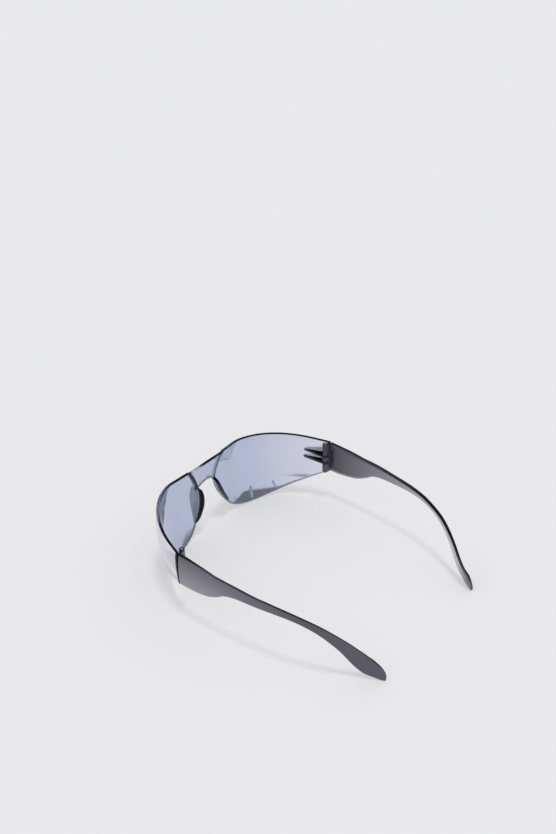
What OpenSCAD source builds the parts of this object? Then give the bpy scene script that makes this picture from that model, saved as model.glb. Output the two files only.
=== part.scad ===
// Rimless wraparound sunglasses: a one-piece shield lens and two folding temples.
// Row frame in millimetres: X across the face, the front looks to -Y, Z up.
// The lens and both temple tips rest on Z = 0.

/* [Overall] */
// Outside width of the lens at its two ends
lens_w = 142; // [130:0.2:152]
// Height of the lens from its resting edge to the top of the bridge
lens_h = 47; // [43:0.1:51]
// How far the lens wraps back from its front to its ends
wrap_d = 46.4; // [42:0.2:50]
// Length of a temple behind the hinge axis, straight back
temple_l = 124.3; // [110:0.2:135]
// Where the front of the lens sits along Y
front_y = -84.15; // [-90:0.05:-75]
// Backward lean of the whole pair when it rests on the lens and the temple tips
rest_tilt = 0.65; // [0.4:0.01:1]
// Height of the lens bottom left under it by that lean
rest_drop = 0.82; // [0.4:0.01:1.4]

/* [Lens] */
// Wall of the shield
lens_t = 2.1; // [1.8:0.05:2.6]
// Radius of the upright curve of the shield and of the temple faces
crown_r = 78; // [50:1:120]
// Step of each eye area in front of the bridge panel
crease_step = 0.7; // [0.3:0.05:1]
// How far the crease bows in towards the nose
crease_bow = 1.3; // [0.5:0.1:2]
// How far a nose pad reaches back from the lens edge
pad_reach = 6; // [4:0.1:7]
// Thickness of a nose pad
pad_t = 2.2; // [1.6:0.1:2.8]
// How far outboard of the lens edge a nose pad is rooted
pad_root = 1.6; // [1:0.1:2]
// Thickness of each hinge rib on the lens
rib_t = 1.6; // [1.4:0.1:2.2]
// Table step of the shield where the ribs start
rib_from = 9.45; // [9:0.05:10]
// Table step of the shield where the ribs end
rib_to = 10.9; // [10.6:0.05:10.95]
// Depth trimmed square off each end of the shield, in front of the blade
end_trim = 0.1; // [0.05:0.05:0.3]

/* [Temples] */
// Thickness of the blade
blade_t = 2.4; // [2:0.1:3]
// Height of the blade at the hinge
blade_h = 21.2; // [18:0.1:23]
// Height of the top of the blade at the hinge
hinge_top = 41.6; // [39:0.1:44]
// Gap between the end of the lens and the front of the blade
butt_gap = 0.6; // [0.4:0.05:1]
// Radius of the hinge knuckles
knuckle_r = 1.65; // [1.5:0.05:2]
// How far the hinge block stands above the top of the blade
block_up = 0.3; // [0:0.1:0.6]
// How far the hinge block hangs below the bottom of the blade
block_down = 0.5; // [0:0.1:1]
// Angle of the back of the hinge block
block_rake = 15; // [10:1:30]
// How far the front of the hinge block reaches into the blade
block_bite = 0.3; // [0.1:0.05:0.5]
// Round edge at the foot of the hinge block
block_foot = 1.4; // [0.8:0.1:1.6]
// Depth of the upright groove behind the hinge block
groove_d = 0.5; // [0.3:0.05:0.8]
// Width of the groove
groove_w = 0.8; // [0.5:0.1:1.2]
// How far behind the hinge axis the groove starts
groove_back = 2.5; // [2:0.1:5]
// Height of the foot of the groove above the bottom of the blade
groove_foot = 5; // [3:0.5:8]

/* [Hinge] */
// Distance from the outer face in to the hinge axis
pin_inset = 4.95; // [4.5:0.05:5.4]
// Distance from the front of the blade forward to the hinge axis
pin_lead = 1.9; // [1.5:0.05:2.2]
// Pin radius
pin_r = 0.75; // [0.6:0.05:0.9]
// Running clearance round the pin in the lens ribs
pin_fit = 0.05; // [0.02:0.01:0.1]
// Close fit round the pin in the temple knuckles
pin_hold = 0.02; // [0.01:0.01:0.03]
// Gap above and below a rib in its slot
slot_fit = 0.15; // [0.1:0.01:0.25]
// Height of the upper slot above the bottom of the blade
slot_hi = 12.3; // [11:0.1:14]
// Height of the lower slot above the bottom of the blade
slot_lo = 7.4; // [6:0.1:9]
// Air round a rib knuckle inside its slot
slot_air = 0.35; // [0.2:0.05:0.5]
// Depth of a slot behind the hinge axis
slot_back = 3.3; // [2.6:0.1:4]

/* [Hidden] */
$fn = 48;
half_w = lens_w / 2;
back_y = front_y + wrap_d;
axis_x = half_w - pin_inset;
blade_y = back_y + butt_gap;
axis_y = blade_y - pin_lead;
blade_z0 = hinge_top - blade_h;
slots = [blade_z0 + slot_lo, blade_z0 + slot_hi];
slot_h = rib_t + 2 * slot_fit;

// Upper edge of the shield from the bridge to its end: shares of half_w, wrap_d, lens_h
TOP = [
  [0.000, 0.056, 1.000], [0.109, 0.052, 0.996], [0.213, 0.040, 0.982], [0.321, 0.018, 0.967],
  [0.430, 0.006, 0.959], [0.529, 0.041, 0.956], [0.628, 0.120, 0.954], [0.722, 0.234, 0.948],
  [0.809, 0.381, 0.938], [0.883, 0.550, 0.922], [0.942, 0.732, 0.903], [1.000, 1.000, 0.885]
];
// Lower edge from the bridge arch, down the nose and out to the end, in the same shares
BOT = [
  [0.000, 0.012, 0.703], [0.068, 0.004, 0.668], [0.106, 0.004, 0.612], [0.139, 0.042, 0.404],
  [0.203, 0.106, 0.199], [0.297, 0.135, 0.042], [0.415, 0.178, 0.008], [0.531, 0.228, 0.001],
  [0.680, 0.332, 0.033], [0.806, 0.507, 0.137], [0.894, 0.735, 0.272], [1.000, 1.000, 0.435]
];
// Blade stations: share of temple_l behind the axis, centre height, width, outer face from half_w, twist
BLADE = [
  [0.0153, 31.05, 21.2, 0.0, 0], [0.0829, 30.95, 20.9, -0.1, 0], [0.1569, 31.45, 19.1, -0.25, 0],
  [0.2140, 32.7, 15.2, -0.35, 0], [0.2606, 34.2, 11.1, -0.5, 0], [0.3266, 35.1, 8.2, -1.0, 0],
  [0.4312, 35.0, 6.2, -2.1, 3], [0.5173, 35.0, 5.1, -3.55, 8], [0.5937, 34.35, 4.25, -5.45, 13],
  [0.6621, 32.6, 4.1, -7.9, 18], [0.7264, 29.75, 4.7, -10.65, 22], [0.7827, 25.4, 5.8, -13.7, 27],
  [0.8310, 20.3, 7.2, -16.8, 31], [0.8753, 14.4, 9.0, -19.8, 33], [0.9119, 10.2, 9.8, -22.0, 29],
  [0.9540, 6.85, 9.5, -24.2, 19]
];

function mix(a, b, t) = a + (b - a) * t;
function unit(v) = v / norm(v);
function at(P, i) = i < 0 ? 2 * P[0] - P[1] : i >= len(P) ? 2 * P[len(P) - 1] - P[len(P) - 2] : P[i];
function curve(p, q, r, s, t) =
  0.5 * (2 * q + (r - p) * t + (2 * p - 5 * q + 4 * r - s) * t * t + (3 * q - p - 3 * r + s) * t * t * t);
function along(P, u) =
  let (k = min(floor(u * (len(P) - 1)), len(P) - 2), t = u * (len(P) - 1) - k)
  curve(at(P, k - 1), at(P, k), at(P, k + 1), at(P, k + 2), t);
function edge(P, u) =
  let (e = along(P, u)) [e[0] * half_w, front_y + e[1] * wrap_d, e[2] * lens_h];

// Shield: columns run from the lower edge to the upper edge, numbered in steps of the two tables
STEPS = len(TOP) - 1;
ROWS = 8;
HALF = concat([for (k = [0 : 0.25 : 1.75]) k], [1.9, 1.96, 2, 2.04, 2.1], [for (k = [2.25 : 0.25 : STEPS]) k]);
function recess(k) =
  crease_step * (k <= 1.9 ? 1 : k >= 2.1 ? 0 : 0.5 + 0.5 * cos(180 * (k - 1.9) / 0.2));
function chord(k) = let (u = k / STEPS) [edge(BOT, u), edge(TOP, u)];
function middle(k) = let (c = chord(k)) (c[0] + c[1]) / 2;
function face(k) =
  let (a = max(k - 0.2, 0), b = min(k + 0.2, STEPS), c = chord(k), f = cross(middle(b) - middle(a), c[1] - c[0]))
  unit(k < 0.01 ? [0, f[1], f[2]] : f);
function bow(k) = crease_bow * (k < 2 ? k / 2 : k < 5 ? 0.5 + 0.5 * cos(60 * (k - 2)) : 0);
function shield(k, v, depth = 0) =
  let (c = chord(k), rise = norm(c[1] - c[0]), arch = 4 * v * (1 - v))
  mix(c[0], c[1], v) + (rise * rise / 8 / crown_r * arch - recess(k) - depth) * face(k) - [bow(k) * arch, 0, 0];
function mirrored(p) = [-p[0], p[1], p[2]];

module shell() {
  right = [for (j = [len(HALF) - 1 : -1 : 1]) [for (d = [0, 1]) [for (i = [0 : ROWS])
    mirrored(shield(HALF[j], i / ROWS, d * lens_t))]]];
  left = [for (j = [0 : len(HALF) - 1]) [for (d = [0, 1]) [for (i = [0 : ROWS])
    shield(HALF[j], i / ROWS, d * lens_t)]]];
  cols = concat(right, left);
  loop = [for (c = cols) concat(c[0], [for (i = [ROWS : -1 : 0]) c[1][i]])];
  skin(loop);
}

// Closed skin over a row of rings with the same number of points
module skin(rings) {
  m = len(rings[0]);
  n = len(rings);
  pts = [for (r = rings) for (p = r) p];
  sides = [for (j = [0 : n - 2]) for (i = [0 : m - 1]) let (a = j * m + i, b = j * m + (i + 1) % m)
    each [[a, b, b + m], [a, b + m, a + m]]];
  cap = m % 2 == 0 ? [for (i = [0 : m / 2 - 2]) each [[i, m - 1 - i, i + 1], [i + 1, m - 1 - i, m - 2 - i]]] : [];
  far = [for (f = cap) [f[0] + (n - 1) * m, f[2] + (n - 1) * m, f[1] + (n - 1) * m]];
  polyhedron(pts, concat(sides, cap, far), convexity = 8);
}

// Nose pad moulded on the lens edge: a leaf that reaches back from the front face
PAD_FROM = 1.75;
PAD_TO = 4.05;
module pad() {
  rings = [for (j = [0 : 14]) let (
      q = j / 14, k = mix(PAD_FROM, PAD_TO, q), r = edge(BOT, k / STEPS),
      a = edge(BOT, (k - 0.1) / STEPS), b = edge(BOT, (k + 0.1) / STEPS), run = unit(b - a),
      reach = 1.4 + (pad_reach + 0.9 - 1.4) * pow(sin(180 * pow(q, 0.8)), 0.7),
      lean = [-0.3 + 0.35 * q, 1, 0], back = unit(lean - run * (run * lean)), side = cross(run, back),
      h = pad_t / 2 * (0.75 + 0.25 * sin(180 * q)))
    [for (c = [[0.3, h], [reach - 0.35 * h, h], [reach, 0.6 * h], [reach, -0.6 * h], [reach - 0.35 * h, -h], [0.3, -h]])
      r + back * c[0] + side * (c[1] - h + pad_root)]];
  skin(rings);
}

// Hinge rib: a flat gusset that grows out of the inner face up to its knuckle
module rib(z) {
  reach = [for (k = [rib_from : (rib_to - rib_from) / 5 : rib_to]) let (c = chord(k), v = (z - c[0][2]) / (c[1][2] - c[0][2]))
    shield(k, v, lens_t * 0.6)];
  rim = [for (p = reach) [p[0] - axis_x, p[1] - axis_y]];
  translate([axis_x, axis_y, z - rib_t / 2]) {
    linear_extrude(rib_t) polygon(concat([[-knuckle_r, 0]], rim, [[knuckle_r * 0.6, knuckle_r * 0.8]]));
    cylinder(r = knuckle_r, h = rib_t);
  }
}

module pin_bore(r, z0, z1) {
  translate([axis_x, axis_y, z0]) cylinder(r = r, h = z1 - z0);
}

module shield_lens() {
  color([0.68, 0.72, 0.79, 0.6]) difference() {
    union() {
      difference() {
        shell();
        translate([-lens_w, back_y - end_trim, 0]) cube([2 * lens_w, wrap_d, lens_h]);
      }
      for (s = [0, 1]) mirror([s, 0, 0]) {
        pad();
        for (z = slots) rib(z);
      }
    }
    for (s = [0, 1]) mirror([s, 0, 0]) for (z = slots) pin_bore(pin_r + pin_fit, z - rib_t, z + rib_t);
  }
}

// Blade: rings square to its run, with rounded corners and the upright crown of the lens
function station(u) = let (e = along(BLADE, u))
  [half_w + e[3] * half_w / 71, axis_y + e[0] * temple_l, e[1] * hinge_top / 41.6, e[2] * blade_h / 21.2, e[4]];
function outer(u) = let (s = station(u)) [s[0], s[1], s[2]];
RUN = 60;
TIP = 7;
module blade() {
  cap = temple_l * (1 - BLADE[len(BLADE) - 1][0]);
  rings = [for (j = [0 : RUN + TIP]) let (
      u = min(j / RUN, 1), t = unit(outer(min(u + 0.01, 1)) - outer(max(u - 0.01, 0))),
      s = station(u), q = j > RUN ? sin(90 * (j - RUN) / (TIP + 0.4)) : 0, c = outer(u) + t * q * cap,
      h0 = unit([0, -t[2], t[1]]), o0 = cross(t, h0), h = h0 * cos(s[4]) - o0 * sin(s[4]),
      o = o0 * cos(s[4]) + h0 * sin(s[4]), w = s[3] / 2 * sqrt(1 - q * q),
      f = blade_t / 2 * (1 - 0.35 * q), r = min(0.45 * blade_t, w * 0.5),
      ring = [[f, -w + r], [f, -w * 0.4], [f, w * 0.4], [f, w - r], [f - r * 0.3, w - r * 0.3], [f - r, w],
        [-f + r, w], [-f + r * 0.3, w - r * 0.3], [-f, w - r], [-f, w * 0.4], [-f, -w * 0.4], [-f, -w + r],
        [-f + r * 0.3, -w + r * 0.3], [-f + r, -w], [f - r, -w], [f - r * 0.3, -w + r * 0.3]])
    [for (p = ring) c + h * p[1]
      + o * (p[0] - blade_t / 2 + (blade_h * blade_h / 4 * (1 - u) - p[1] * p[1]) / 2 / crown_r)]];
  skin(rings);
}

module block() {
  z0 = blade_z0 - block_down;
  z1 = hinge_top + block_up;
  c = knuckle_r * [cos(120), sin(120)];
  root = pin_inset - blade_t / 2;
  translate([axis_x, axis_y, z0]) {
    linear_extrude(z1 - z0) polygon([c, [root, c[1] + (root - c[0]) * tan(block_rake)], [root, pin_lead + block_bite],
      knuckle_r * [cos(35), sin(35)], [0, 0]]);
    translate([0, 0, block_foot]) cylinder(r = knuckle_r, h = z1 - z0 - block_foot);
    cylinder(r1 = knuckle_r - block_foot, r2 = knuckle_r, h = block_foot);
  }
}

module temple() {
  swing = knuckle_r + slot_air;
  difference() {
    union() {
      blade();
      block();
    }
    pin_bore(pin_r + pin_hold, blade_z0 + 1, hinge_top + 1);
    for (z = slots) translate([axis_x, axis_y, z - slot_h / 2]) {
      cylinder(r = swing, h = slot_h);
      translate([-2 * swing, -2 * swing, 0]) cube([3 * swing, 2 * swing + slot_back, slot_h]);
    }
    translate([half_w - blade_t - groove_w, axis_y + groove_back, blade_z0 + groove_foot])
      cube([groove_d + groove_w, groove_w, blade_h]);
  }
}

module pin() {
  z0 = blade_z0 + 1.2;
  z1 = hinge_top + block_up - 0.2;
  color([0.75, 0.76, 0.78]) translate([axis_x, axis_y, 0]) {
    translate([0, 0, z0]) cylinder(r1 = pin_r - 0.2, r2 = pin_r, h = 0.2);
    translate([0, 0, z0 + 0.2]) cylinder(r = pin_r, h = z1 - z0 - 0.4);
    translate([0, 0, z1 - 0.2]) cylinder(r1 = pin_r, r2 = pin_r - 0.2, h = 0.2);
  }
}

// Lean of the whole pair onto its lens and its temple tips
module rest() {
  translate([0, 0, -rest_drop]) rotate([-rest_tilt, 0, 0]) children();
}

module lens() {
  rest() shield_lens();
}

module left_temple() {
  color([0.2, 0.2, 0.22]) rest() temple();
}

module right_temple() {
  color([0.2, 0.2, 0.22]) rest() mirror([1, 0, 0]) temple();
}

module left_hinge_pin() {
  rest() pin();
}

module right_hinge_pin() {
  rest() mirror([1, 0, 0]) pin();
}

lens();
left_temple();
right_temple();
left_hinge_pin();
right_hinge_pin();
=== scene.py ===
# %% [markdown]
# # Rimless wraparound sunglasses
# A pair of one-piece sunglasses: a mirrored, smoke-blue shield that is lens, bridge and nose pads in one
# moulding, and two dark plastic temples, each of which folds on a steel pin. This lesson dresses the solid
# model: it builds smoother pieces over the plain solids, gives each its finish, and lights them on a pale
# floor.
# Everything is in metres: +X is the wearer's left, -Y is the way the lens faces, +Z is up. The sizes of the
# pieces are written in millimetres and multiplied by MM.

# %% Load the solid model
import math
import bmesh
import bpy
from mathutils import Matrix, Vector


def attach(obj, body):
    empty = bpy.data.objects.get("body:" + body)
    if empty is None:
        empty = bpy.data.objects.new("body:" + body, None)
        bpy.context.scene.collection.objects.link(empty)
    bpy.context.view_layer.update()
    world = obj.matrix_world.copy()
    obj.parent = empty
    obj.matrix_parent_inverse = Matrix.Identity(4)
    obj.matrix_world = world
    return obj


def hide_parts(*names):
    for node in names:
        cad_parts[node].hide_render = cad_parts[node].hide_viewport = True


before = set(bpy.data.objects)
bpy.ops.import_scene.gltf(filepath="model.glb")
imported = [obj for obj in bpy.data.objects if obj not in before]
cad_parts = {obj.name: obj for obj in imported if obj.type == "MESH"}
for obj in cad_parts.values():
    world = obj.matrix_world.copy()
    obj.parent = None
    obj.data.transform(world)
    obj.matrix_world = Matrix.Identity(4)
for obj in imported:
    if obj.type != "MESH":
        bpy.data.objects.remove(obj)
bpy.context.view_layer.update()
MM = 0.001

# %% [markdown]
# ## Camera
# The pair is seen from behind and above the wearer's left temple. The camera's place and its two axes are
# written out as vectors, because a matrix made of them can't roll or flip as Euler angles can.

# %% Camera
camera_place = Vector((0.379072, 0.292808, 0.407460))
camera_right = Vector((-0.62908, 0.77708, -0.02035)).normalized()
camera_up = Vector((-0.42178, -0.31922, 0.84865)).normalized()
camera_back = camera_right.cross(camera_up).normalized()
camera_up = camera_back.cross(camera_right)
lens_data = bpy.data.cameras.new("camera")
lens_data.sensor_fit = "VERTICAL"
lens_data.sensor_height = 36
lens_data.lens = 45.15
camera = bpy.data.objects.new("camera", lens_data)
camera_turn = Matrix((camera_right, camera_up, camera_back)).transposed().to_4x4()
camera.matrix_world = Matrix.Translation(camera_place) @ camera_turn
bpy.context.scene.collection.objects.link(camera)
bpy.context.scene.camera = camera
bpy.context.scene.view_settings.view_transform = "Standard"
print("camera", round(camera_place.length, 3), "m from the origin")

# %% [markdown]
# ## Writing finishes as sums
# A finish is a tree of nodes. A small class wraps an output socket, so that `0.2 + 0.1 * noise` adds the
# Math nodes by itself, and one method makes any other node from its type, its settings and its inputs. An
# input is given by its name, or as n0, n6 and so on where a node has several sockets of one name.

# %% Node helpers
class Wire:
    def __init__(self, tree, socket):
        self.tree = tree
        self.socket = socket

    def math(self, operation, first, second=None):
        node = self.tree.nodes.new("ShaderNodeMath")
        node.operation = operation
        for place, value in enumerate((first, second)):
            if isinstance(value, Wire):
                self.tree.links.new(value.socket, node.inputs[place])
            elif value is not None:
                node.inputs[place].default_value = value
        return Wire(self.tree, node.outputs[0])

    def __add__(self, other): return self.math("ADD", self, other)
    def __radd__(self, other): return self.math("ADD", other, self)
    def __sub__(self, other): return self.math("SUBTRACT", self, other)
    def __rsub__(self, other): return self.math("SUBTRACT", other, self)
    def __mul__(self, other): return self.math("MULTIPLY", self, other)
    def __rmul__(self, other): return self.math("MULTIPLY", other, self)
    def over(self, other): return self.math("GREATER_THAN", self, other)
    def either(self, other): return self.math("MAXIMUM", self, other)
    def size(self): return self.math("ABSOLUTE", self)


class Finish:
    def __init__(self, holder):
        holder.use_nodes = True
        self.tree = holder.node_tree
        self.tree.nodes.clear()

    def node(self, kind, settings=None, out=0, **inputs):
        node = self.tree.nodes.new("ShaderNode" + kind)
        for name, value in (settings or {}).items():
            setattr(node, name, value)
        for name, value in inputs.items():
            numbered = name[0] == "n" and name[1:].isdigit()
            socket = node.inputs[int(name[1:]) if numbered else name.replace("_", " ")]
            if isinstance(value, Wire):
                self.tree.links.new(value.socket, socket)
            else:
                socket.default_value = value
        return Wire(self.tree, node.outputs[out]) if len(node.outputs) else node


COLOUR_MIX = {"data_type": "RGBA"}
SOFT_STEP = {"interpolation_type": "SMOOTHSTEP"}
print("node helpers ready")

# %% [markdown]
# ## Sky
# A studio gives two things: the light that falls on the pair, and the surroundings that its shiny faces
# mirror. An even white sky falls on it. The camera sees a pale wall. A mirror face sees pale paper low down
# and a dark room above, which is why every edge that looks up is nearly black. The border between them is
# tilted, so that the pale part reaches higher on the wearer's left, as if a white card stood there.

# %% Sky
PAPER = (0.807, 0.807, 0.823, 1)
DARK_ROOM = (0.030, 0.030, 0.036, 1)
FILL, CARD_TILT = 0.72, 0.13
world = bpy.data.worlds.new("studio")
bpy.context.scene.world = world
sky = Finish(world)
way = sky.node("TexCoord", out="Generated")
height = sky.node("SeparateXYZ", out="Z", Vector=way) - CARD_TILT * sky.node("SeparateXYZ", out="X", Vector=way)
above = sky.node("MapRange", SOFT_STEP, Value=height, From_Min=-0.01, From_Max=0.04)
room = sky.node("Mix", COLOUR_MIX, out=2, n0=above, n6=PAPER, n7=DARK_ROOM)
mirrored = sky.node("LightPath", out="Glossy Depth").over(0.5)
pale = sky.node("Background", Color=PAPER, Strength=1.0)
dim = sky.node("Background", Color=room, Strength=1.0)
around = sky.node("MixShader", n0=mirrored, n1=pale, n2=dim)
fill = sky.node("Background", Color=(1, 1, 1.01, 1), Strength=FILL)
lighting = sky.node("LightPath", out="Is Diffuse Ray")
sky.node("OutputWorld", Surface=sky.node("MixShader", n0=lighting, n1=around, n2=fill))
world.cycles.sampling_method = "NONE"
print("sky strength", FILL)

# %% [markdown]
# ## Sun
# One broad lamp hangs almost overhead and throws the soft shadow. Mirrors and tinted plastic don't show it,
# because its disc would leave hard white dots on them.

# %% Sun
SUN, SUN_WIDTH = 0.95, 11
light_from = Vector((0.0, 0.12, 1.0))
sun_data = bpy.data.lights.new("sun", "SUN")
sun_data.energy = SUN
sun_data.angle = math.radians(SUN_WIDTH)
sun = bpy.data.objects.new("sun", sun_data)
sun.visible_glossy = False
sun.visible_transmission = False
sun.rotation_euler = light_from.to_track_quat("Z", "Y").to_euler()
bpy.context.scene.collection.objects.link(sun)
print("sun from", [round(v, 2) for v in light_from.normalized()])

# %% [markdown]
# ## Selecting
# An operator works on all that is selected. So nothing is selected before a new shape is added, and only
# the piece in hand before it is changed.

# %% Selecting
def select_nothing():
    for thing in bpy.context.selected_objects:
        thing.select_set(False)


def take(piece):
    select_nothing()
    piece.select_set(True)
    bpy.context.view_layer.objects.active = piece


print("selecting is ready")

# %% [markdown]
# ## Floor
# The floor is a wide sheet of matt paper. Where it is looked at, straight on, through the lens or in a
# mirror, it glows with a part of its own colour, so that it stays pale and still keeps the shadow. Where a
# mirror sees it at a flat angle, to the far side or close to the pair, a painted dark reflection takes its
# place: the paper shows the dark colour of the room there. That paints the lens's dark crescent along the
# lower edge.

# %% Floor
FLOOR, GLOW = 14, 0.48
select_nothing()
bpy.ops.mesh.primitive_grid_add(x_subdivisions=8, y_subdivisions=8, size=FLOOR, location=(0, 0, -0.00002))
floor = bpy.context.object
floor.name = "floor"
bpy.ops.object.transform_apply(location=True, rotation=True, scale=True)
paper = bpy.data.materials.new("paper")
tree = Finish(paper)
place = tree.node("TexCoord", out="Object")
fibre = tree.node("TexNoise", Vector=place, Scale=900.0, Detail=3.0)
tooth = tree.node("Bump", Height=fibre, Strength=0.02, Distance=0.0002)
lit = tree.node("BsdfPrincipled", Base_Color=PAPER, Roughness=0.9, Specular_IOR_Level=0.0, Normal=tooth)
glow = tree.node("Emission", Color=PAPER, Strength=1.0)
looked_at = tree.node("LightPath", out="Is Camera Ray")
for ray in ("Is Glossy Ray", "Is Transmission Ray"):
    looked_at = looked_at.either(tree.node("LightPath", out=ray))
near_by = tree.node("MixShader", n0=GLOW * looked_at, n1=lit, n2=glow)
grazing = tree.node("LayerWeight", out="Facing", Blend=0.5)
far_away = tree.node("MapRange", SOFT_STEP, Value=grazing, From_Min=0.88, From_Max=0.955)
sideways = tree.node("SeparateXYZ", out="X", Vector=place)
far_side = tree.node("MapRange", Value=sideways, From_Min=-0.10, From_Max=-0.25)
backwards = tree.node("SeparateXYZ", out="Y", Vector=place)
under_pair = tree.node("MapRange", Value=backwards, From_Min=0.03, From_Max=-0.02)
mirrored = tree.node("LightPath", out="Glossy Depth").over(0.5)
# Painted dark reflection: seen in a mirror at a flat angle, far side and under the pair, the paper turns dark.
painted_dark_reflection = tree.node("Emission", Color=DARK_ROOM, Strength=1.0)
painted_dark_mask = far_away * far_side.either(under_pair) * mirrored * looked_at
tree.node("OutputMaterial", Surface=tree.node("MixShader", n0=painted_dark_mask, n1=near_by, n2=painted_dark_reflection))
floor.data.materials.append(paper)
print("floor", round(floor.dimensions[0], 2), "m wide")

# %% [markdown]
# ## Hand tools: modifiers, normals and finishes
# Modifiers are applied as soon as they are set. After a shape is closed its doubles are merged and its faces
# are turned outward. One piece can have several finishes: `dress` gives it the list and says which face
# takes which, and `faces_among` finds the faces that stand on given points.

# %% Modifiers, normals and finishes
MERGE = 0.000004


def apply_modifiers(piece):
    take(piece)
    for modifier in list(piece.modifiers):
        bpy.ops.object.modifier_apply(modifier=modifier.name)


def turn_faces_out(piece):
    take(piece)
    bpy.ops.object.mode_set(mode="EDIT")
    bpy.ops.mesh.select_all(action="SELECT")
    bpy.ops.mesh.remove_doubles(threshold=MERGE)
    bpy.ops.mesh.normals_make_consistent(inside=False)
    bpy.ops.object.mode_set(mode="OBJECT")


def dress(piece, finishes, chosen=0):
    piece.data.materials.clear()
    for material in finishes:
        piece.data.materials.append(material)
    for i, face in enumerate(piece.data.polygons):
        face.material_index = chosen if isinstance(chosen, int) else chosen[i]


def faces_among(piece, spots):
    keys = {tuple(round(c, 5) for c in spot) for spot in spots}
    held = [tuple(round(c, 5) for c in vert.co) in keys for vert in piece.data.vertices]
    return [sum(held[i] for i in face.vertices) >= 3 for face in piece.data.polygons]


print("doubles merge under", MERGE / MM, "mm")

# %% [markdown]
# ## Hand tools: drawing out, joining and cutting
# Most moulded shapes can be drawn out: a flat ring is extruded, and each new ring of points is moved to its
# own place. Two closed shapes are then joined, or one is cut by the other, with a Boolean.

# %% Drawing out, joining and cutting
def draw_out(name, rings):
    select_nothing()
    bpy.ops.mesh.primitive_circle_add(vertices=len(rings[0]), radius=0.01, fill_type="NGON")
    piece = bpy.context.object
    piece.name = name
    bpy.ops.object.mode_set(mode="EDIT")
    mesh = bmesh.from_edit_mesh(piece.data)
    for loop, spot in zip(mesh.faces[:][0].loops, rings[0]):
        loop.vert.co = spot
    bmesh.update_edit_mesh(piece.data)
    for before, after in zip(rings, rings[1:]):
        bpy.ops.mesh.extrude_region_move()
        mesh = bmesh.from_edit_mesh(piece.data)
        for vert in [v for v in mesh.verts if v.select]:
            nearest = min(range(len(before)), key=lambda i: (Vector(before[i]) - vert.co).length_squared)
            vert.co = after[nearest]
        bmesh.update_edit_mesh(piece.data)
    bpy.ops.object.mode_set(mode="OBJECT")
    turn_faces_out(piece)
    return piece


def combine(piece, other, how):
    step = piece.modifiers.new("combine", "BOOLEAN")
    step.operation = how
    step.solver = "MANIFOLD"
    step.object = other
    apply_modifiers(piece)
    bpy.data.objects.remove(other)


print("drawing out and combining are ready")

# %% [markdown]
# ## Hand tools: the other side, rounded edges and the rest position
# The pair is the same on both sides, so each piece is modelled once, for the left, and mirrored. The pieces
# are drawn with the lens upright; at the end each is leant back and lowered as the pair lies on the floor.

# %% The other side, rounded edges and the rest position
REST_TILT, REST_DROP = math.radians(0.65), 0.82 * MM


def other_side(piece, name):
    copy = piece.copy()
    copy.data = piece.data.copy()
    copy.name = name
    bpy.context.scene.collection.objects.link(copy)
    take(copy)
    copy.scale = (-1, 1, 1)
    bpy.ops.object.transform_apply(location=True, rotation=True, scale=True)
    turn_faces_out(copy)
    return copy


def round_edges(piece, width, angle=50, segments=3):
    step = piece.modifiers.new("round", "BEVEL")
    step.width = width * MM
    step.segments = segments
    step.limit_method = "ANGLE"
    step.angle_limit = math.radians(angle)
    apply_modifiers(piece)


def lay_to_rest(piece, smooth=35):
    take(piece)
    piece.rotation_euler = (-REST_TILT, 0, 0)
    piece.location = (0, 0, -REST_DROP)
    bpy.ops.object.transform_apply(location=True, rotation=True, scale=True)
    bpy.ops.object.shade_smooth_by_angle(angle=math.radians(smooth))


print("the pair leans back by", round(math.degrees(REST_TILT), 2), "degrees")

# %% [markdown]
# ## A smooth curve through a table
# A row of points is easy to read off a drawing and to change. A Catmull-Rom curve runs through all of them
# without corners, so any column between two rows can be asked for.

# %% Curve through a table
def along(table, k):
    def row(i):
        if i < 0:
            return 2 * Vector(table[0]) - Vector(table[1])
        if i >= len(table):
            return 2 * Vector(table[-1]) - Vector(table[-2])
        return Vector(table[i])
    i = int(min(math.floor(k), len(table) - 2))
    t = k - i
    a, b, c, d = row(i - 1), row(i), row(i + 1), row(i + 2)
    straight = 2 * b + (c - a) * t
    return 0.5 * (straight + (2 * a - 5 * b + 4 * c - d) * t * t + (3 * b - a - 3 * c + d) * t ** 3)


print("half way from (0, 0) to (1, 2):", [round(v, 2) for v in along([(0, 0), (1, 2)], 0.5)])

# %% [markdown]
# ## The shield's outline
# The shield is a wall that wraps from ear to ear. Two tables describe its upper and lower edge from the
# middle of the bridge to one end, each row as shares of the half width, of the wrap and of the height.
# Beyond the eye the curve is softened, as a thick sheet can't turn sharply.

# %% Edge curves
HALF_WIDTH, WRAP, TALL, FRONT = 71.0, 46.4, 47.0, -84.15
UPPER = [(0, .056, 1), (.109, .052, .996), (.213, .04, .982), (.321, .018, .967), (.43, .006, .959),
         (.529, .041, .956), (.628, .12, .954), (.722, .234, .948), (.809, .381, .938), (.883, .55, .922),
         (.942, .732, .903), (1, 1, .885)]
LOWER = [(0, .012, .703), (.068, .004, .668), (.106, .004, .612), (.139, .042, .404), (.203, .106, .199),
         (.297, .135, .042), (.415, .178, .008), (.531, .228, .001), (.68, .332, .033), (.806, .507, .137),
         (.894, .735, .272), (1, 1, .435)]
LAST = len(UPPER) - 1
SOFTEN = ((-1, 0.0625), (-0.5, 0.25), (0, 0.375), (0.5, 0.25), (1, 0.0625))
SOFT_FROM, SOFT_RUN = 3.6, 1.6


def edge(table, k):
    spread = min(max((k - SOFT_FROM) / SOFT_RUN, 0), 1)
    share = sum((along(table, k + spread * d) * w for d, w in SOFTEN), Vector((0, 0, 0)))
    return Vector((share[0] * HALF_WIDTH, FRONT + share[1] * WRAP, share[2] * TALL))


print("shield", 2 * HALF_WIDTH, "mm wide,", TALL, "mm high")

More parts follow.
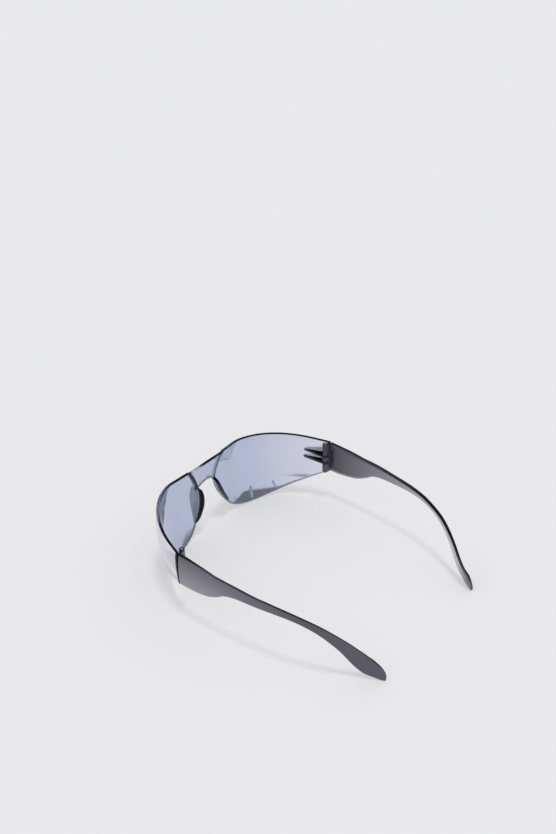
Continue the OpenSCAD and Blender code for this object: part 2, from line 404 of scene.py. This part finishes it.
# %% [markdown]
# ## The shield's surface
# Between its two edges the wall bulges a little, as a piece of a large barrel would, fuller in its upper
# half. The bridge lies 0.7 mm behind the eye areas. The step between them is the crease: a moulder cuts it
# into the tool so that the middle of the thin wall gets stiff.

# %% Surface of the shield
CROWN, STEP_OUT, CREASE_BOW = 78.0, 0.7, 1.3
CREASE, CREASE_FROM, CREASE_RUN = 2, 1.96, 0.08
LOWER_FULL, UPPER_FULL = 2.2, 3.0


def outward(k):
    lo, hi = max(k - 0.2, 0), min(k + 0.2, LAST)
    run = (edge(LOWER, hi) + edge(UPPER, hi) - edge(LOWER, lo) - edge(UPPER, lo)) / 2
    way = run.cross(edge(UPPER, k) - edge(LOWER, k))
    if k < 0.01:
        way[0] = 0
    return way.normalized()


def step_back(k):
    turn = min(max(math.pi * (k - CREASE_FROM) / CREASE_RUN, 0), math.pi)
    return STEP_OUT * (0.5 + 0.5 * math.cos(turn))


def crease_bow(k):
    if k < CREASE:
        return CREASE_BOW * (k / CREASE)
    return CREASE_BOW * (0.5 + 0.5 * math.cos(math.radians(min(60 * (k - CREASE), 180))))


def shield_spot(k, v, depth=0.0):
    low, high = edge(LOWER, k), edge(UPPER, k)
    arch = 1 - abs(2 * v - 1) ** (LOWER_FULL if v < 0.5 else UPPER_FULL)
    bulge = (high - low).length_squared / 8 / CROWN * arch
    spot = low.lerp(high, v) + (bulge - step_back(k) - depth) * outward(k)
    return spot - Vector((crease_bow(k) * arch, 0, 0))


print("bulge in the middle of an eye", round((edge(UPPER, 5) - edge(LOWER, 5)).length_squared / 8 / CROWN, 2))

# %% [markdown]
# ## A sheet for the shield
# A flat grid is the start. Its rows are spread between the two edges and its columns along them, closer
# together at the crease. A grid keeps the quads even, and a mirror finish shows every uneven one.

# %% Sheet of the shield
ROWS, COARSE, FINE = 28, 1 / 8, 0.01
columns = [COARSE * i for i in range(15)] + [round(1.8 + FINE * i, 4) for i in range(41)]
columns += [2.25 + COARSE * i for i in range(71)]
across = [-c for c in reversed(columns[1:])] + columns
select_nothing()
bpy.ops.mesh.primitive_grid_add(x_subdivisions=len(across) - 1, y_subdivisions=ROWS, size=2)
shield = bpy.context.object
shield.name = "shield"
for vert in shield.data.vertices:
    k = across[round((vert.co.x + 1) / 2 * (len(across) - 1))]
    spot = shield_spot(abs(k), (vert.co.y + 1) / 2)
    vert.co = Vector((-spot[0] if k < 0 else spot[0], spot[1], spot[2])) * MM
shield.data.update()
print("sheet", len(shield.data.polygons), "faces in", ROWS, "rows")

# %% [markdown]
# ## Which face gets which finish
# The plastic is one, but it looks different by place. The outer face carries the mirror, the inner face
# doesn't. Along a rim one looks through much more of the dyed plastic, so it is dense. Beside the crease
# and at the butt, where the edge of the wall shows on end, the faces are painted nearly black: partly the
# long look through the dye, partly painted shade and a painted dark reflection of the room. The sheet has
# two slots more than there are finishes, because Solidify counts on from the numbers of the sheet.

# %% Finishes of the shield
BLACK_FROM, BLACK_TO, BUTT_FROM = 1.87, 1.975, 10.9
plain, dense, painted_dark_edge, inner, bridge_rim = [bpy.data.materials.new("tinted_lens" + end) for end in (
    "", "_thick", "_rim", "_inner", "_bridge_rim")]
lens_finishes = (plain, dense, painted_dark_edge, inner, bridge_rim)
PLAIN, DENSE, BLACK, INNER, BRIDGE = range(5)
middles = [abs(a + b) / 2 for a, b in zip(across, across[1:])]
bands = [BLACK if BLACK_FROM < middle < BLACK_TO or middle > BUTT_FROM else PLAIN for middle in middles]
dress(shield, (plain, dense, painted_dark_edge, inner, dense, painted_dark_edge), bands * ROWS)
print("black columns", bands.count(BLACK), "of", len(bands))

# %% [markdown]
# ## The shield's wall
# Solidify gives the sheet its wall, inward, and numbers the finishes of the new faces: three up for the
# inner face, one up for the rim. What lies behind a black column is moved back from number 5 to black. A
# bisect cuts both ends square, where the temples butt, and a small bevel rounds the moulded rim. The rim of
# the bridge is thin and clear, so it gets a finish of its own.

# %% Wall of the shield
LOOK_WALL, RIM_ROUND, BRIDGE_HALF = 1.7, 0.28, 13
END = FRONT + WRAP - 0.1
if sum((p.normal for p in shield.data.polygons), Vector()).y > 0:
    shield.data.flip_normals()
wall = shield.modifiers.new("wall", "SOLIDIFY")
wall.thickness = LOOK_WALL * MM
wall.offset = -1
wall.use_even_offset = True
wall.material_offset = INNER - PLAIN
wall.material_offset_rim = DENSE - PLAIN
apply_modifiers(shield)
bpy.ops.object.mode_set(mode="EDIT")
bpy.ops.mesh.select_all(action="SELECT")
bpy.ops.mesh.bisect(plane_co=(0, END * MM, 0), plane_no=(0, 1, 0), use_fill=True, clear_outer=True)
bpy.ops.object.mode_set(mode="OBJECT")
turn_faces_out(shield)
round_edges(shield, RIM_ROUND)
BEYOND = {4: DENSE, 5: BLACK}
chosen = [BEYOND.get(face.material_index, face.material_index) for face in shield.data.polygons]
for face in shield.data.polygons:
    if chosen[face.index] == DENSE and abs(face.center.x) < BRIDGE_HALF * MM:
        chosen[face.index] = BRIDGE
dress(shield, lens_finishes, chosen)
print("shield wall", [chosen.count(i) for i in range(len(lens_finishes))], "faces per finish")

# %% [markdown]
# ## Nose pads
# Each pad is a leaf of the same plastic that leaves the lower edge of the shield and reaches back to the
# nose. It is drawn out along that edge, one ring after the other: the ring's free end is a half round, and
# its reach swells and fades as a leaf's does. The upper part leans towards the nose. The free end is
# painted black: partly the long look down the whole leaf, partly a painted dark reflection. A Boolean union
# melts the pad into the wall, because the real one has no seam.

# %% Pads
PAD_FROM, PAD_TO = 1.75, 4.05
PAD_REACH, PAD_LEAST, PAD_THICK, PAD_ROOT = 6.9, 1.4, 2.2, 1.6
PAD_BLACK, PAD_FOOT, PAD_STEPS = 0.34, 0.3, 36


def pad_ring(q):
    k = PAD_FROM + (PAD_TO - PAD_FROM) * q
    root = edge(LOWER, k)
    run = (edge(LOWER, k + 0.1) - edge(LOWER, k - 0.1)).normalized()
    reach = PAD_LEAST + (PAD_REACH - PAD_LEAST) * math.sin(math.pi * q ** 0.8) ** 0.7
    lean = Vector((-0.3 + 0.35 * q, 1, 0))
    back = (lean - run * run.dot(lean)).normalized()
    side = run.cross(back)
    half = PAD_THICK / 2 * (0.75 + 0.25 * math.sin(math.pi * q))
    turns = [math.pi * (0.5 - i / 8) for i in range(9)]
    black = half + PAD_BLACK * (reach - half)
    spots = [(reach - half + half * math.cos(t), half * math.sin(t)) for t in turns]
    spots = [(PAD_FOOT, half), (reach - black, half)] + spots + [(reach - black, -half), (PAD_FOOT, -half)]
    return [(root + back * a + side * (b - half + PAD_ROOT)) * MM for a, b in spots]


pad_rings = [pad_ring(0.0005 + 0.999 * j / PAD_STEPS) for j in range(PAD_STEPS + 1)]
pad = draw_out("pad", pad_rings)
free_end = faces_among(pad, [spot for ring in pad_rings for spot in ring[1:12]])
dress(pad, lens_finishes, [BLACK if held else DENSE for held in free_end])
combine(shield, other_side(pad, "pad_right"), "UNION")
combine(shield, pad, "UNION")
print("black faces on a pad", sum(free_end), "shield with pads", len(shield.data.polygons), "faces")

# %% [markdown]
# ## Where the hinge stands
# The hinge axis is an upright line just inside the end of the lens. All the small parts round it are placed
# from it: the ribs of the lens, the block of the temple, the slots between them and the pin.

# %% Hinge axis
PIN_INSET, PIN_LEAD, BUTT = 4.95, 1.9, 0.6
KNUCKLE, RIB, PIN_RADIUS = 1.65, 1.6, 0.75
BLADE_TOP, BLADE_TALL, BLADE_THICK = 41.6, 21.2, 2.4
AXIS_X = HALF_WIDTH - PIN_INSET
AXIS_Y = FRONT + WRAP + BUTT - PIN_LEAD
BLADE_FOOT = BLADE_TOP - BLADE_TALL
SLOTS = (BLADE_FOOT + 7.4, BLADE_FOOT + 12.3)


def rod(name, z0, z1, radius, side=1, sides=48):
    select_nothing()
    middle = (side * AXIS_X * MM, AXIS_Y * MM, (z0 + z1) / 2 * MM)
    bpy.ops.mesh.primitive_cylinder_add(vertices=sides, radius=radius * MM, depth=(z1 - z0) * MM,
                                        location=middle)
    piece = bpy.context.object
    piece.name = name
    bpy.ops.object.transform_apply(location=True, rotation=True, scale=True)
    return piece


print("hinge axis at", round(AXIS_X, 2), round(AXIS_Y, 2), "mm")

# %% [markdown]
# ## Hinge ribs
# Two flat ribs grow out of the inner face at each end and close round the pin. The rib's outline follows
# the wall on one side; it is drawn out by its thickness, its edges are rounded, a round knuckle is joined to
# its tip, and the pin's hole is bored last. Rib and knuckle are painted black: partly the rib seen on edge,
# partly painted shade, so that the slots of the block show as dark holes.

# %% Ribs and knuckles
RIB_FROM, RIB_LONG, RIB_ROOT, BORE_FIT = 9.45, 1.45, 1.26, 0.05


def rib(z):
    outline = [(AXIS_X - KNUCKLE, AXIS_Y)]
    for i in range(11):
        k = RIB_FROM + RIB_LONG * i / 10
        low, high = edge(LOWER, k), edge(UPPER, k)
        outline.append(shield_spot(k, (z - low[2]) / (high[2] - low[2]), RIB_ROOT)[:2])
    outline.append((AXIS_X + KNUCKLE * 0.6, AXIS_Y + KNUCKLE * 0.8))
    levels = (z - RIB / 2, z + RIB / 2)
    piece = draw_out("rib", [[Vector((x, y, level)) * MM for x, y in outline] for level in levels])
    round_edges(piece, 0.25, angle=60, segments=2)
    dress(piece, lens_finishes, BLACK)
    knuckle = rod("knuckle", *levels, KNUCKLE)
    dress(knuckle, lens_finishes, BLACK)
    combine(piece, knuckle, "UNION")
    return piece


for z in SLOTS:
    left_rib = rib(z)
    combine(shield, other_side(left_rib, "rib_right"), "UNION")
    combine(shield, left_rib, "UNION")
    for side in (1, -1):
        combine(shield, rod("bore", z - RIB, z + RIB, PIN_RADIUS + BORE_FIT, side), "DIFFERENCE")
turn_faces_out(shield)
lay_to_rest(shield, 32)
print("finished shield", len(shield.data.polygons), "faces, box", [round(v, 4) for v in shield.dimensions])

# %% [markdown]
# ## The temple's stations
# A temple is a blade that starts as tall as the lens, narrows to a thin arm and ends in a paddle behind the
# ear. Its stations give, from the hinge back, the share of the length, the height of the middle, the width,
# how far the outer face has moved in, and the twist in degrees.

# %% Stations of the temple
TEMPLE = 124.3
STATIONS = [(.0153, 31.05, 21.2, 0, 0), (.0829, 30.95, 20.9, -.1, 0), (.1569, 31.45, 19.1, -.25, 0),
            (.214, 32.7, 15.2, -.35, 0), (.2606, 34.2, 11.1, -.5, 0), (.3266, 35.1, 8.2, -1, 0),
            (.4312, 35, 6.2, -2.1, 3), (.5173, 35, 5.1, -3.55, 8), (.5937, 34.35, 4.25, -5.45, 13),
            (.6621, 32.6, 4.1, -7.9, 18), (.7264, 29.75, 4.7, -10.65, 22), (.7827, 25.4, 5.8, -13.7, 27),
            (.831, 20.3, 7.2, -16.8, 31), (.8753, 14.4, 9, -19.8, 33), (.9119, 10.2, 9.8, -22, 29),
            (.954, 7.45, 9.5, -24.2, 19)]


def station(u):
    share, middle, width, moved, twist = along(STATIONS, u * (len(STATIONS) - 1))
    return Vector((HALF_WIDTH + moved, AXIS_Y + share * TEMPLE, middle)), width, math.radians(twist), share


print("temple", TEMPLE, "mm long, thinnest", min(row[2] for row in STATIONS), "mm")

# %% [markdown]
# ## One ring of the blade
# A ring is a long rectangle with rounded corners. Away from the hinge its inner side thins towards both
# edges, and in the arm and the paddle the whole blade thins towards its upper edge, as a comfortable temple
# does. The paddle ends in a slanted toe: its width fades along an ellipse while its middle drops.

# %% Ring of the blade
TAPER, TAPER_RUN = 0.5, 0.12
WEDGE, WEDGE_FROM, WEDGE_RUN = 0.17, 0.35, 0.25
TOE_FROM, TOE_LONG, TOE_DROP, TOE_THIN = 0.905, 6.5, 0.6, 0.35
FLAT = (-0.9, -0.75, -0.5, -0.2, 0.2, 0.5, 0.75, 0.9)


def outline_of_ring(half, thick):
    corner = min(0.3 * BLADE_THICK, half * 0.5)
    turns = [math.pi / 2 * i / 4 for i in range(5)]
    quarter = [(corner * math.cos(t) - corner, corner * math.sin(t) - corner) for t in turns]
    side = [(half - corner) * s for s in FLAT]
    spots = [(thick, b) for b in side] + [(thick + a, half + b) for a, b in quarter]
    spots += [(-thick - a, half + b) for a, b in reversed(quarter)] + [(-thick, -b) for b in side]
    spots += [(-thick - a, -half - b) for a, b in quarter]
    return spots + [(thick + a, -half - b) for a, b in reversed(quarter)]


def thin_down(spots, half, thick, u):
    taper = TAPER * min(u / TAPER_RUN, 1)
    wedge = WEDGE * min(max((u - WEDGE_FROM) / WEDGE_RUN, 0), 1) * (1 - taper)
    left = [1 - taper * min(abs(b) / half, 1) ** 4 - wedge * (1 + b / half) for _, b in spots]
    return [(thick - (thick - a) * share, b) for (a, b), share in zip(spots, left)]


def blade_ring(u, past=0.0):
    here, width, twist, share = station(u)
    way = (station(min(u + 0.01, 1))[0] - station(max(u - 0.01, 0))[0]).normalized()
    up = Vector((0, -way[2], way[1])).normalized()
    out = way.cross(up)
    up, out = up * math.cos(twist) - out * math.sin(twist), out * math.cos(twist) + up * math.sin(twist)
    toe = TOE_LONG / TEMPLE
    gone = max(share + past * toe - TOE_FROM, 0) / (STATIONS[-1][0] + toe - TOE_FROM)
    half = width / 2 * math.sqrt(1 - gone * gone)
    here = here + way * past * TOE_LONG - up * (width / 2 - half) * TOE_DROP
    thick = BLADE_THICK / 2 * (1 - TOE_THIN * past)
    rise = BLADE_TALL ** 2 / 4 * (1 - u)
    spots = thin_down(outline_of_ring(half, thick), half, thick, u)
    return [(here + up * b + out * (a - BLADE_THICK / 2 + (rise - b * b) / 2 / CROWN)) * MM for a, b in spots]


print("points in a ring", len(blade_ring(0)))

# %% [markdown]
# ## Blade
# The ring is drawn out from station to station, and on to the toe in steps that get shorter. The inner side
# has its own finish, into which the paper between the two temples is painted as a lighter reflection.

# %% Blade
BLADE_STEPS = 84
GLOSS, SATIN, INSIDE = range(3)
rings = [blade_ring(j / BLADE_STEPS) for j in range(BLADE_STEPS + 1)]
rings += [blade_ring(1, math.sin(math.radians(90 * j / 9.4))) for j in range(1, 10)]
temple_left = draw_out("temple_left", rings)
gloss, satin, inside = [bpy.data.materials.new("temple_plastic" + end) for end in ("", "_block", "_inside")]
temple_finishes = (gloss, satin, inside)
inner_side = faces_among(temple_left, [spot for ring in rings for spot in ring[18:26]])
dress(temple_left, temple_finishes, [INSIDE if held else GLOSS for held in inner_side])
print("blade", len(temple_left.data.polygons), "faces,", sum(inner_side), "on its inner side")

# %% [markdown]
# ## Hinge block
# On the inner side of the blade, close to its butt, stands an upright block that becomes the three knuckles
# of the hinge. It is drawn up from its outline, a little narrower at the foot and at the top, and joined to
# the blade. Each level gives a height and the share of the full outline.

# %% Block
BLOCK_FOOT, BLOCK_TOP = BLADE_FOOT - 0.5, BLADE_TOP + 0.3


def block_outline():
    turns = [math.radians(35 - 275 * i / 24) for i in range(25)]
    spots = [(KNUCKLE * math.cos(t), KNUCKLE * math.sin(t)) for t in turns]
    root = PIN_INSET - BLADE_THICK / 2
    x, y = spots[-1]
    return spots + [(root, y + (root - x) * math.tan(math.radians(15))), (root, PIN_LEAD + 0.3)]


levels = [(BLOCK_FOOT, 0.45), (BLOCK_FOOT + 0.4, 0.75), (BLOCK_FOOT + 1.4, 1.0), (BLOCK_TOP - 0.25, 1.0),
          (BLOCK_TOP, 0.86)]
block = draw_out("block", [[Vector((AXIS_X + x * s, AXIS_Y + y * s, z)) * MM for x, y in block_outline()]
                           for z, s in levels])
dress(block, temple_finishes, SATIN)
combine(temple_left, block, "UNION")
print("block", round(BLOCK_TOP - BLOCK_FOOT, 1), "mm high")

# %% [markdown]
# ## Slots, groove and bore
# The ribs swing in two slots, which show as small dark holes at the back of the block. An upright groove
# parts the block from the blade, and the pin's hole runs up through all the knuckles from just above the
# foot, so that the pin can't fall out. The box of a slot ends a hair short of the round cut before it, since
# a Boolean works best where no two faces lie in one plane.

# %% Slots, groove and bore
SLOT_FIT, SLOT_AIR, SLOT_BACK, HAIR, PRESS_FIT = 0.15, 0.35, 3.3, 0.001, 0.02
GROOVE_FOOT, GROOVE_TOP, GROOVE_BACK = 5, 45, 2.5


def box(name, low, high):
    select_nothing()
    bpy.ops.mesh.primitive_cube_add(size=1, location=[(a + b) / 2 * MM for a, b in zip(low, high)])
    piece = bpy.context.object
    piece.name = name
    piece.scale = [(b - a) * MM for a, b in zip(low, high)]
    bpy.ops.object.transform_apply(location=True, rotation=True, scale=True)
    return piece


swing = KNUCKLE + SLOT_AIR
for z in SLOTS:
    z0, z1 = z - RIB / 2 - SLOT_FIT, z + RIB / 2 + SLOT_FIT
    combine(temple_left, rod("swing", z0, z1, swing), "DIFFERENCE")
    slot = box("slot", (AXIS_X - 2 * swing, AXIS_Y - 2 * swing, z0 + HAIR),
               (AXIS_X + swing, AXIS_Y + SLOT_BACK, z1 - HAIR))
    combine(temple_left, slot, "DIFFERENCE")
blade_face = HALF_WIDTH - BLADE_THICK
groove = box("groove", (blade_face - 0.8, AXIS_Y + GROOVE_BACK, BLADE_FOOT + GROOVE_FOOT),
             (blade_face + 0.5, AXIS_Y + SLOT_BACK, GROOVE_TOP))
combine(temple_left, groove, "DIFFERENCE")
combine(temple_left, rod("bore", BLADE_FOOT + 1, 43, PIN_RADIUS + PRESS_FIT), "DIFFERENCE")
turn_faces_out(temple_left)
temple_right = other_side(temple_left, "temple_right")
lay_to_rest(temple_left)
lay_to_rest(temple_right)
print("temple", len(temple_left.data.polygons), "faces, box", [round(v, 4) for v in temple_left.dimensions])

# %% [markdown]
# ## Hinge pins
# A plain steel pin, cut from wire and tumbled, so that both ends have a small round. Only its bright top
# shows, in the middle of the dark knuckle.

# %% Pins
pin_left = rod("pin_left", BLADE_FOOT + 1.2, BLADE_TOP + 0.1, PIN_RADIUS, sides=40)
round_edges(pin_left, 0.16)
pin_right = other_side(pin_left, "pin_right")
lay_to_rest(pin_left)
lay_to_rest(pin_right)
print("pin", round(pin_left.dimensions[2] / MM, 1), "mm long")

# %% [markdown]
# ## Mirrored lens plastic
# The lens is clear plastic dyed smoke blue, with a thin silver mirror on its outer face only. Seen from the
# inside, part of what one sees is the paper through the dye, and part is the studio mirrored in the silver.
# So the finish mixes a tinted glass with a mirror. Its colour gets paler towards the ends. A shadow ray goes
# straight through and takes a plain grey, as it would need caustics otherwise.

# %% Lens finish
SILVER = (0.97, 0.96, 1.0, 1)
PASSING = (0.20, 0.20, 0.21, 1)
PALE_FROM, PALE_TO = 0.034, 0.078


def lens_finish(material, middle_colour, end_colour, silvering, ior=1.585, frost=0.0):
    tree = Finish(material)
    place = tree.node("TexCoord", out="Object")
    smudge = tree.node("TexNoise", Vector=place, Scale=55.0, Detail=3.0, Roughness=0.6)
    haze = 0.004 + frost + 0.020 * (smudge.over(0.62) * smudge)
    ripple = tree.node("Bump", Height=smudge, Strength=0.05, Distance=0.0002)
    sideways = tree.node("SeparateXYZ", out="X", Vector=place).size()
    outboard = tree.node("MapRange", SOFT_STEP, Value=sideways, From_Min=PALE_FROM, From_Max=PALE_TO)
    dye = tree.node("Mix", COLOUR_MIX, out=2, n0=outboard, n6=middle_colour, n7=end_colour)
    tinted = tree.node("BsdfPrincipled", Base_Color=dye, Roughness=haze, IOR=ior, Transmission_Weight=1.0,
                       Normal=ripple)
    silver = tree.node("BsdfPrincipled", Base_Color=SILVER, Roughness=haze, Metallic=1.0, Normal=ripple)
    mirror = tree.node("MixShader", n0=silvering, n1=tinted, n2=silver)
    passing = tree.node("BsdfTransparent", Color=PASSING)
    in_shadow = tree.node("LightPath", out="Is Shadow Ray")
    tree.node("OutputMaterial", Surface=tree.node("MixShader", n0=in_shadow, n1=mirror, n2=passing))


smoke_blue, pale_blue = (0.55, 0.61, 0.77, 1), (0.82, 0.83, 0.93, 1)
clear_rim, painted_shade_black = (0.60, 0.64, 0.75, 1), (0.006, 0.007, 0.012, 1)
lens_finish(plain, smoke_blue, pale_blue, 0.62)
lens_finish(inner, smoke_blue, pale_blue, 0.0)
lens_finish(dense, (0.30, 0.33, 0.45, 1), (0.44, 0.45, 0.54, 1), 0.14, frost=0.20)
lens_finish(bridge_rim, clear_rim, clear_rim, 0.0, ior=1.45, frost=0.35)
# Painted shade and painted dark reflection: near black, with a weak Fresnel so that it never glints.
lens_finish(painted_dark_edge, painted_shade_black, painted_shade_black, 0.01, ior=1.3)
print("lens finishes with", len(plain.node_tree.nodes), "nodes each")

# %% [markdown]
# ## Dark moulded plastic
# The temples are smoke-black plastic with a satin gloss straight from the mould. Low on the tall blade near
# the hinge, and on the inner side of the thin arm, it is painted greyer: painted light from the paper below,
# and a painted reflection of the paper between the temples. A fine grain breaks the reflection, and long
# faint flow marks change colour and gloss a little.

# %% Temple finish
def temple_finish(material, dark, painted_light_grey, ior, inner_face=False):
    tree = Finish(material)
    place = tree.node("TexCoord", out="Object")
    grain = tree.node("TexNoise", Vector=place, Scale=4200.0, Detail=2.0)
    stretched = tree.node("Mapping", Vector=place, Scale=(60, 9, 60))
    flow = tree.node("TexNoise", Vector=stretched, Scale=1.0, Detail=3.0)
    skin = tree.node("Bump", Height=grain, Strength=0.05, Distance=0.0001)
    backwards = tree.node("SeparateXYZ", out="Y", Vector=place)
    # Painted light: the arm's inner face as a painted reflection of the paper, the blade's lower front as
    # painted light from the paper below.
    if inner_face:
        painted_paper_reflection = tree.node("MapRange", Value=backwards, From_Min=-0.035, From_Max=0.060)
        painted_light_share = painted_paper_reflection * (1 - 0.75 * tree.node("MapRange", Value=backwards, From_Min=0.070, From_Max=0.080))
    else:
        upright = tree.node("SeparateXYZ", out="Z", Vector=place)
        low = tree.node("MapRange", Value=upright, From_Min=0.042, From_Max=0.018)
        painted_light_share = low * tree.node("MapRange", Value=backwards, From_Min=0.04, From_Max=-0.01)
    shade = tree.node("Mix", COLOUR_MIX, out=2, n0=painted_light_share * (0.8 + 0.4 * flow), n6=dark, n7=painted_light_grey)
    plastic = tree.node("BsdfPrincipled", Base_Color=shade, Roughness=0.25 + 0.08 * flow, IOR=ior,
                        Specular_Tint=(0.90, 0.88, 1.0, 1), Normal=skin)
    tree.node("OutputMaterial", Surface=plastic)


# The second colour of each is the painted light, greyer tone.
temple_finish(gloss, (0.006, 0.005, 0.014, 1), (0.275, 0.260, 0.305, 1), 2.2)
temple_finish(satin, (0.020, 0.020, 0.028, 1), (0.035, 0.034, 0.046, 1), 1.75)
temple_finish(inside, (0.012, 0.012, 0.022, 1), (0.560, 0.550, 0.600, 1), 1.9, inner_face=True)
print("temple finishes with", len(gloss.node_tree.nodes), "nodes each")

# %% [markdown]
# ## Steel of the pins
# Drawn wire shows fine lines along its length, so the noise is stretched upright.

# %% Pin finish
steel = bpy.data.materials.new("pin_metal")
tree = Finish(steel)
place = tree.node("TexCoord", out="Object")
stretched = tree.node("Mapping", Vector=place, Scale=(9000, 9000, 300))
drawn = tree.node("TexNoise", Vector=stretched, Scale=1.0, Detail=2.0)
lines = tree.node("Bump", Height=drawn, Strength=0.1, Distance=0.00005)
metal = tree.node("BsdfPrincipled", Base_Color=(0.78, 0.79, 0.81, 1), Metallic=0.5,
                  Roughness=0.22 + 0.12 * drawn, Normal=lines)
tree.node("OutputMaterial", Surface=metal)
for pin in (pin_left, pin_right):
    dress(pin, (steel,))
print("pin finish with", len(steel.node_tree.nodes), "nodes")

# %% [markdown]
# ## Riding on the bodies
# Each piece stands for its solid and rides on its body.

# %% Ride and replace
for piece, body, node, slot in (
        (shield, "front", "lens", "tinted_lens"),
        (temple_left, "left_arm", "left_temple", "temple_plastic"),
        (temple_right, "right_arm", "right_temple", "temple_plastic"),
        (pin_left, "left_arm", "left_hinge_pin", "pin_metal"),
        (pin_right, "right_arm", "right_hinge_pin", "pin_metal")):
    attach(piece, body)
    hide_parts(node)
